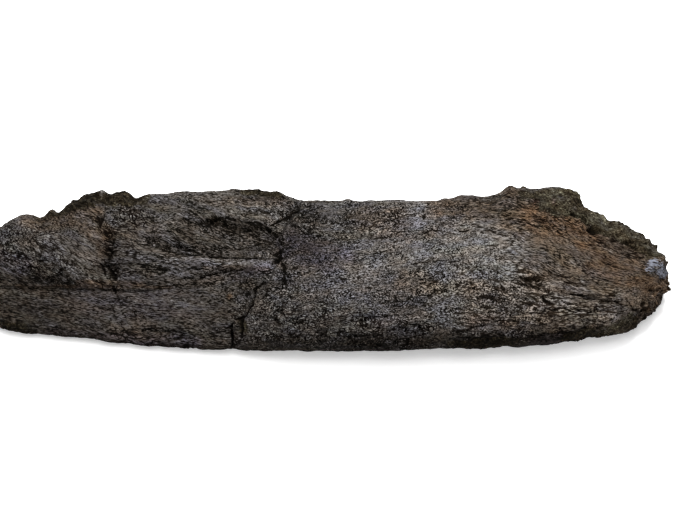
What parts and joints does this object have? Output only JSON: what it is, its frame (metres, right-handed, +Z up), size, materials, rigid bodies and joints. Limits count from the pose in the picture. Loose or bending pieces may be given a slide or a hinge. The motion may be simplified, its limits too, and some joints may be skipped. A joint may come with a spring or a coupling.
{
  "type": "fossil frill section",
  "caption": "Elongated slab of fossil horned-dinosaur frill bone with fibrous grain, cracks, a rust-stained crease and matrix along its broken rear edge; lies flat on its inner side.",
  "frame": {"origin": "on the resting plane, under the centre of the slab's bounding box", "axes": "+X along the slab towards its narrow end, +Y towards the broken rear edge, +Z up out of the grooved outer face"},
  "size_m": [0.3, 0.0816, 0.0341],
  "materials": {
    "fossil_bone": "dull, fibrous fossil bone in dark brown and grey, with olive-brown matrix and rust stains"
  },
  "bodies": {
    "root": {"frill_section": "fossil_bone"}
  },
  "joints": []
}
